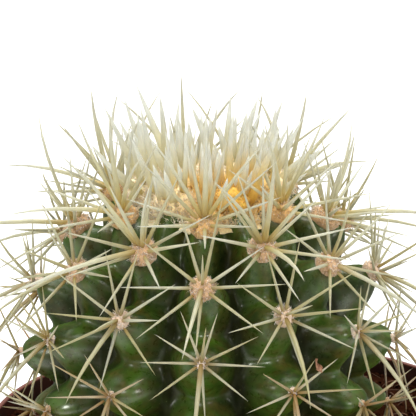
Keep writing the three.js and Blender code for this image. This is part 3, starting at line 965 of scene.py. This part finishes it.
mat = bmesh.new()
bmesh.ops.create_uvsphere(mat, u_segments=128, v_segments=64, radius=1)
for point in mat.verts:
    x, y, z = point.co
    bulge = noise.noise((3.1 * x, 3.1 * y, 1.7)) * 0.10 + noise.noise((9 * x, 9 * y, 5 * z)) * 0.09
    flat = math.hypot(x, y) ** 0.8 * CROWN_RADIUS
    around = math.atan2(y, x)
    top = crown_height(flat) * (1 + 2.2 * bulge)
    height = top * z**0.5 if z > 0 else 2.5 * MM * z
    height -= crown_droop(flat)
    reach = flat * (0.97 + 0.9 * bulge)
    point.co = (
        crown_middle[0] + reach * math.cos(around),
        crown_middle[1] + reach * math.sin(around),
        crown_middle[2] + height,
    )
crown_mat = new_piece("crown_mat", mat, crown_felt)
mat_points = np.array([v.co for v in crown_mat.data.vertices])
hold(crown_mat.data, "worn", away_from_gold(mat_points))
hold(crown_mat.data, "bleached", np.zeros(len(mat_points)))

spot = np.sqrt(chance.random(CROWN_HAIRS)) * CROWN_RADIUS
around = 2 * np.pi * chance.random(CROWN_HAIRS)
outwards = np.stack([np.cos(around), np.sin(around), 0 * around], 1)
root = crown_middle + outwards * spot[:, None]
root[:, 2] += crown_height(spot) * 0.9 - crown_droop(spot)
upright = outwards * (0.9 * spot / CROWN_RADIUS)[:, None] + [0, 0, 1]
lean = unit(upright + 0.7 * chance.normal(size=(CROWN_HAIRS, 3)))
tip = root + lean * (0.8 + 1.8 * chance.random(CROWN_HAIRS))[:, None] * MM
middle = (root + tip) / 2 + chance.normal(size=(CROWN_HAIRS, 3)) * 0.35 * MM
thin = (0.06 + 0.1 * chance.random(CROWN_HAIRS)) * MM
bent = along_lines(hair_shape[0], root, middle, tip, outwards + 0.01, thin, thin)
hair_ages = away_from_gold(root)[:, None]
bleach = (0.1 + 0.6 * hair_ages) * chance.random((CROWN_HAIRS, 1))
crown_fuzz = repeated(
    "crown_hairs", hair_shape, bent, crown_felt, {"worn": hair_ages, "bleached": bleach}
)

young = []
for rib in range(RIBS):
    polar = FIRST_AREOLE + AREOLE_STEP * (rib_shift(rib) - 1)
    if polar < HIGHEST_AREOLE:
        a = Areole(rib, 0, polar)
        out = a.place[:2] - STEM_AXIS
        off = np.linalg.norm(out)
        a.wool = (2.7 + 1.3 * off / CROWN_RADIUS) * MM
        steep = 0.75 * off / CROWN_RADIUS
        a.normal = np.array([*(math.sin(steep) * out / off), math.cos(steep)])
        a.right = np.array([-out[1] / off, out[0] / off, 0])
        a.up = np.cross(a.normal, a.right)
        inside = min(1, 0.9 * CROWN_RADIUS / off)
        level = crown_height(inside * off) - 1 * MM
        a.seat = crown_middle + [*(inside * out), level]
        young.append(a)
tufts = [cushion_on(a, a.wool, TUFT_FORM, TUFT_ROUGH, TUFT_GRAIN) for a in young]
tuft_ages = away_from_gold(np.array([a.seat for a in young]))
young_tufts = repeated(
    "young_tufts",
    ball_shape,
    np.array(tufts),
    crown_felt,
    {"worn": tuft_ages[:, None], "bleached": 0.05},
)
tuft_hairs = [hairs_on(a, a.wool, TUFT_FORM, TUFT_HAIR, TUFT_HAIR_THICK) for a in young]
hair_ages = np.concatenate([np.full(len(h), age) for h, age in zip(tuft_hairs, tuft_ages)])
tuft_fuzz = repeated(
    "young_tuft_hairs",
    hair_shape,
    np.concatenate(tuft_hairs),
    crown_felt,
    {
        "worn": hair_ages[:, None],
        "bleached": (0.1 + 0.6 * hair_ages[:, None]) * chance.random((len(hair_ages), 1)),
    },
)
for piece in (crown_mat, crown_fuzz, young_tufts, tuft_fuzz):
    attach(piece, "root")
    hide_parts("crown")


# ---- The spines ----------------------------------------------------------------------------
# Spines are dead, horny, awl-shaped and a little flattened, swollen at the foot, and rooted in the
# areole's wool. Each one follows its needle in the frame. Those that reach highest are cut, the
# crown's own are drawn up to 40% shorter, and smaller young ones are added there.
chance = np.random.default_rng(3)
LEAST_LENGTH = 2 * MM
SKYLINE = 17 * MM  # over the crown's foot; spines that reach higher are cut to the next length
LONGEST_HIGH = 24 * MM
NARROW = 0.16  # radians, the most that a needle opens from its tip
HEART_RISE = 0.32  # of the foot's radius, where the spines of an areole meet
ROOT_SPREAD = 0.25
BENT_BELOW = 0.68  # of the length; a needle whose last ring is nearer to its tip is bent
RING_WIDTH = 0.72  # of the foot's width, at a bent needle's ring
SLIMNESS = 0.76  # of the needle's width
FRESH_BREADTH = 1.2
FLATNESS = 0.9
ROLL = 0.35
CROWN_TRIM = 0.4


def needles_of(node):
    """Each needle of a CAD node: its tip, the way to it, its foot's width per length and the
    middle of the ring before the tip."""
    body = bmesh.new()
    body.from_mesh(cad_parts[node].data)
    bmesh.ops.remove_doubles(body, verts=body.verts, dist=0.002 * MM)
    body.normal_update()
    found = []
    for point in body.verts:
        edges = [e.other_vert(point).co - point.co for e in point.link_edges]
        back = sum((e.normalized() for e in edges), Vector())
        if min(e.length for e in edges) < LEAST_LENGTH:
            continue
        if max(back.angle(e) for e in edges) > NARROW:
            continue
        sides = []
        for face in sorted(point.link_faces, key=lambda f: -f.calc_area()):
            if all(face.normal.dot(side) < 0.99 for side in sides):
                sides.append(face.normal)
        slant = np.linalg.solve(np.array(sides[:3]), np.ones(3))
        sine = 1 / np.linalg.norm(slant)
        ring = np.array(point.co + sum(edges, Vector()) / len(edges))
        found.append((np.array(point.co), unit(slant), 2 * sine / math.sqrt(1 - sine**2), ring))
    body.free()
    return found


SPINE_TAPER = [(0.0, 0.8), (0.06, 1.0), (0.25, 0.93), (0.5, 0.76), (0.72, 0.52), (0.88, 0.27)]
levels, widths = zip(*SPINE_TAPER, (1.0, 0.015))
spine = rod(6, 1, 0.02, levels[1:-1])
for point in spine.verts:
    reach = np.interp(point.co.z, levels, widths)
    flat = math.hypot(point.co.x, point.co.y)
    point.co.x *= reach / flat
    point.co.y *= reach / flat
spine_shape = template(spine)
# Where each point sits round the spine, +1 on the side facing out, which the material paints as a
# highlight.
spine_ridge = spine_shape[0][None, :, 1] / np.linalg.norm(spine_shape[0][None, :, :2], axis=-1)

horn, tree = new_material("horny_cactus_spine")
# Dead, dense and horny tissue: a little glossy, and thin enough for light to pass, which comes out
# whiter. The ridge is painted cream to grey as a painted highlight and the edges tan as painted
# shade, the foot is yellow, or golden in the crown, and some old spines are rusty tan.
place = add(tree, "ShaderNodeTexCoord").outputs["Object"]
along, shade, fresh, gold, rust, ridge = (
    add(tree, "ShaderNodeAttribute", attribute_name=label).outputs["Fac"]
    for label in ("along", "shade", "fresh", "gold", "rust", "ridge")
)
cloud = add(tree, "ShaderNodeTexNoise", {"Vector": place, "Scale": 1000 / 2.5, "Detail": 3})
# Painted highlight and shade: the outward ridge is painted pale and the edges tan.
ridge_highlight_colour = add(
    tree,
    "ShaderNodeMix",
    {0: shade, 6: linear("#aea66e"), 7: linear("#cfd0bc")},
    data_type="RGBA",
)
ridge_highlight_share = add(
    tree,
    "ShaderNodeMapRange",
    {"Value": ridge, "From Min": -0.5, "From Max": 0.8},
)
body_colour = add(
    tree,
    "ShaderNodeMix",
    {0: ridge_highlight_share.outputs[0], 6: linear("#a0944c"), 7: ridge_highlight_colour.outputs[2]},
    data_type="RGBA",
)
fading = add(
    tree,
    "ShaderNodeMapRange",
    {"Value": along, "From Min": 0.1, "From Max": 0.7},
)
fresh_colour = add(
    tree,
    "ShaderNodeMix",
    {0: fading.outputs[0], 6: linear("#dfd28f"), 7: linear("#e4e4da")},
    data_type="RGBA",
)
upper = add(
    tree,
    "ShaderNodeMix",
    {0: fresh, 6: body_colour.outputs[2], 7: fresh_colour.outputs[2]},
    data_type="RGBA",
)
plain_foot = add(
    tree,
    "ShaderNodeMix",
    {0: fresh, 6: linear("#b49858"), 7: linear("#efd98c")},
    data_type="RGBA",
)
foot_colour = add(
    tree,
    "ShaderNodeMix",
    {0: gold, 6: plain_foot.outputs[2], 7: linear("#f0cc66")},
    data_type="RGBA",
)
foot_reach = add(tree, "ShaderNodeMath", {0: gold, 1: 0.5, 2: 0.24}, operation="MULTIPLY_ADD")
past_foot = add(
    tree,
    "ShaderNodeMath",
    {0: along, 1: foot_reach.outputs[0]},
    operation="DIVIDE",
    use_clamp=True,
)
footed = add(
    tree,
    "ShaderNodeMix",
    {0: past_foot.outputs[0], 6: foot_colour.outputs[2], 7: upper.outputs[2]},
    data_type="RGBA",
)
rusty = add(
    tree,
    "ShaderNodeMix",
    {0: rust, 6: footed.outputs[2], 7: linear("#b07c3e")},
    data_type="RGBA",
)
tone = add(
    tree,
    "ShaderNodeMapRange",
    {"Value": cloud.outputs[0], "From Min": 0.3, "From Max": 0.7, "To Min": 0.88, "To Max": 1.04},
)
toned = add(
    tree,
    "ShaderNodeVectorMath",
    {0: rusty.outputs[2], "Scale": tone.outputs[0]},
    operation="SCALE",
)
surface = add(
    tree,
    "ShaderNodeBsdfPrincipled",
    {
        "Base Color": toned.outputs[0],
        "Roughness": 0.4,
        "IOR": 1.54,
        "Subsurface Weight": 0.3,
        "Subsurface Radius": (1.0, 0.9, 0.6),
        "Subsurface Scale": 0.8 * MM,
    },
)
paleness = add(tree, "ShaderNodeMath", {0: fresh, 1: -0.3, 2: 0.8}, operation="MULTIPLY_ADD")
whitened = add(
    tree,
    "ShaderNodeMath",
    {0: paleness.outputs[0], 1: past_foot.outputs[0]},
    operation="MULTIPLY",
)
pale = add(
    tree,
    "ShaderNodeMix",
    {0: whitened.outputs[0], 6: toned.outputs[0], 7: linear("#f2f3ee")},
    data_type="RGBA",
)
through = add(tree, "ShaderNodeBsdfTranslucent", {"Color": pale.outputs[2]})
clear = add(tree, "ShaderNodeMath", {0: fresh, 1: 0.25, 2: 0.45}, operation="MULTIPLY_ADD")
both = add(
    tree,
    "ShaderNodeMixShader",
    {0: clear.outputs[0], 1: surface.outputs[0], 2: through.outputs[0]},
)
add(tree, "ShaderNodeOutputMaterial", {"Surface": both.outputs[0]})


def spines_piece(name, lines, nodes):
    """One piece of spines. Each line is a root, a middle, a tip, the way out, half its width, and
    how fresh, golden and rusty it is."""
    root, middle, tip, outward, width, *tints = (np.array(part) for part in zip(*lines))
    rolled = outward + ROLL * chance.normal(size=outward.shape)
    width = width * (SLIMNESS + FRESH_BREADTH * np.maximum(tints[0] - 0.6, 0))
    thick = FLATNESS * width
    bent = along_lines(spine_shape[0], root, middle, tip, rolled, width, thick)
    held = {label: values[:, None] for label, values in zip(("fresh", "gold", "rust"), tints)}
    held["along"] = spine_shape[0][None, :, 2]
    held["ridge"] = spine_ridge
    held["shade"] = chance.random((len(lines), 1))
    piece = repeated(name, spine_shape, bent, horn, held)
    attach(piece, "root")
    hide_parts(*nodes)


for rib in range(RIBS):
    own = [a for a in areoles if a.rib == rib]
    lines = []
    for a in own:
        heart = a.seat + HEART_RISE * a.radius * a.normal
        fresh_share = 0.6 * (1 - float(ramp(a.polar, 28, 62)))
        for tip, way, taper, ring in needles_of(a.node):
            reach = np.linalg.norm(tip - heart)
            rusty_share = 0.85 * chance.random() ** 1.3 * float(ramp(a.polar, 66, 98))
            if np.linalg.norm(ring - tip) < BENT_BELOW * reach:
                root, middle = heart + ROOT_SPREAD * a.radius * unit(ring - heart), ring
                half = taper * np.linalg.norm(ring - tip) / RING_WIDTH
            else:
                straight = (tip - heart) / reach
                way = way if np.dot(way, straight) > 0.95 else straight
                out = np.dot(tip - heart, a.normal) / np.dot(way, a.normal)
                long = np.clip(out, 0.85 * reach, reach)
                root, half = tip - long * way, taper * long
                middle = (root + tip) / 2
            high = tip[2] > crown_middle[2] + SKYLINE
            kept = min(1, LONGEST_HIGH / reach) if high else 1
            half *= 1 + 0.35 * high * chance.random()
            middle, tip = root + kept * (middle - root), root + kept * (tip - root)
            lines.append((root, middle, tip, a.normal, half, fresh_share, 0.0, rusty_share))
    spines_piece(f"spines_rib{rib + 1:02d}", lines, [a.node for a in own])

chance = np.random.default_rng(4)
lines = []
for tip, way, taper, _ in needles_of("crown"):
    long = (tip[2] - crown_middle[2] - 1 * MM) / way[2]
    root = tip - long * way
    tip = root + (1 - CROWN_TRIM * chance.random() ** 2) * long * way
    outward = unit(root - crown_middle + [0, 0, 1 * MM])
    golden = 1 - float(away_from_gold(root))
    lines.append((root, (root + tip) / 2, tip, outward, taper * long, 1.0, golden, 0.0))
spines_piece("spines_crown", lines, ["crown"])

YOUNG_SPINES = 4
GOLDEN_SPINES = 2  # round the growing point the wool lies bare
lines = []
for a in young:
    age = a.polar / HIGHEST_AREOLE
    for i in range(GOLDEN_SPINES if away_from_gold(a.seat) < 0.5 else YOUNG_SPINES):
        around = 2 * math.pi * (i + 0.6 * chance.random()) / YOUNG_SPINES
        lean = (0.15 + 0.75 * chance.random()) * (0.6 + 0.6 * age)
        flat = math.cos(around) * a.right + math.sin(around) * a.up
        way = unit(a.normal + np.tan(lean) * flat + [0, 0, 0.5])
        root = a.seat + 0.3 * a.wool * flat
        long = (8 + 6 * age + 8 * chance.random() ** 1.5) * MM
        tip = root + long * way
        middle = (root + tip) / 2 + 0.03 * long * flat
        half = (0.6 + 0.6 * chance.random()) * MM
        golden = 1 - float(away_from_gold(root))
        lines.append((root, middle, tip, a.normal + 0.3 * flat, half, 1.0, golden, 0.0))
spines_piece("spines_young", lines, ["crown"])


# ---- The dried scrap -----------------------------------------------------------------------
# A dried scrap of a leaf or flower, reddish brown, papery and curled, is caught on the end of a
# spine at the lower right and hangs from it.
SCRAP_NODE = "areole_rib02_row3"
SCRAP_LENGTH = 3.5 * MM
SCRAP_WIDE, SCRAP_LONG, SCRAP_THICK = 0.13, 0.5, 0.06  # halves, as shares of its length
SCRAP_HANG = 0.42
SCRAP_LEAN, SCRAP_DROP = 0.35, 0.94  # to the right and down
paper_brown, tree = new_material("dried_plant_scrap")
# Dead plant tissue: matt, thin and papery, from rust brown to tan.
place = add(tree, "ShaderNodeTexCoord").outputs["Object"]
blotches = add(tree, "ShaderNodeTexNoise", {"Vector": place, "Scale": 1000 / 0.8, "Detail": 4})
tan = add(
    tree,
    "ShaderNodeMix",
    {0: blotches.outputs[0], 6: linear("#4e2a1b"), 7: linear("#b98a68")},
    data_type="RGBA",
)
surface = add(tree, "ShaderNodeBsdfPrincipled", {"Base Color": tan.outputs[2], "Roughness": 0.8})
add(tree, "ShaderNodeOutputMaterial", {"Surface": surface.outputs[0]})
holder = next(a for a in areoles if a.node == SCRAP_NODE)
wanted = unit(0.6 * holder.up + 0.8 * holder.normal)
tips = [tip for tip, *_ in needles_of(SCRAP_NODE)]
caught = max(tips, key=lambda tip: np.dot(unit(tip - holder.seat), wanted))
lengthways = SCRAP_LEAN * holder.right - SCRAP_DROP * holder.up
sideways = SCRAP_DROP * holder.right + SCRAP_LEAN * holder.up
scrap = bmesh.new()
bmesh.ops.create_icosphere(scrap, subdivisions=4, radius=1)
for point in scrap.verts:
    x, y, z = point.co
    wavy = 1 + 0.5 * math.sin(4 * y)
    bumpy = 1 + 0.25 * noise.noise((5 * x, 5 * y, 5 * z))
    curl = noise.noise((2.2 * x, 2.2 * y, 0.3)) * 0.6
    raised = SCRAP_THICK * z + 0.3 * curl + 0.2 * y * y
    flat = SCRAP_WIDE * x * wavy * bumpy * sideways + (SCRAP_LONG * y + SCRAP_HANG) * lengthways
    point.co = caught + SCRAP_LENGTH * (flat + raised * holder.normal)
scrap_piece = new_piece("dried_scrap", scrap, paper_brown)
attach(scrap_piece, "root")
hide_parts(SCRAP_NODE)
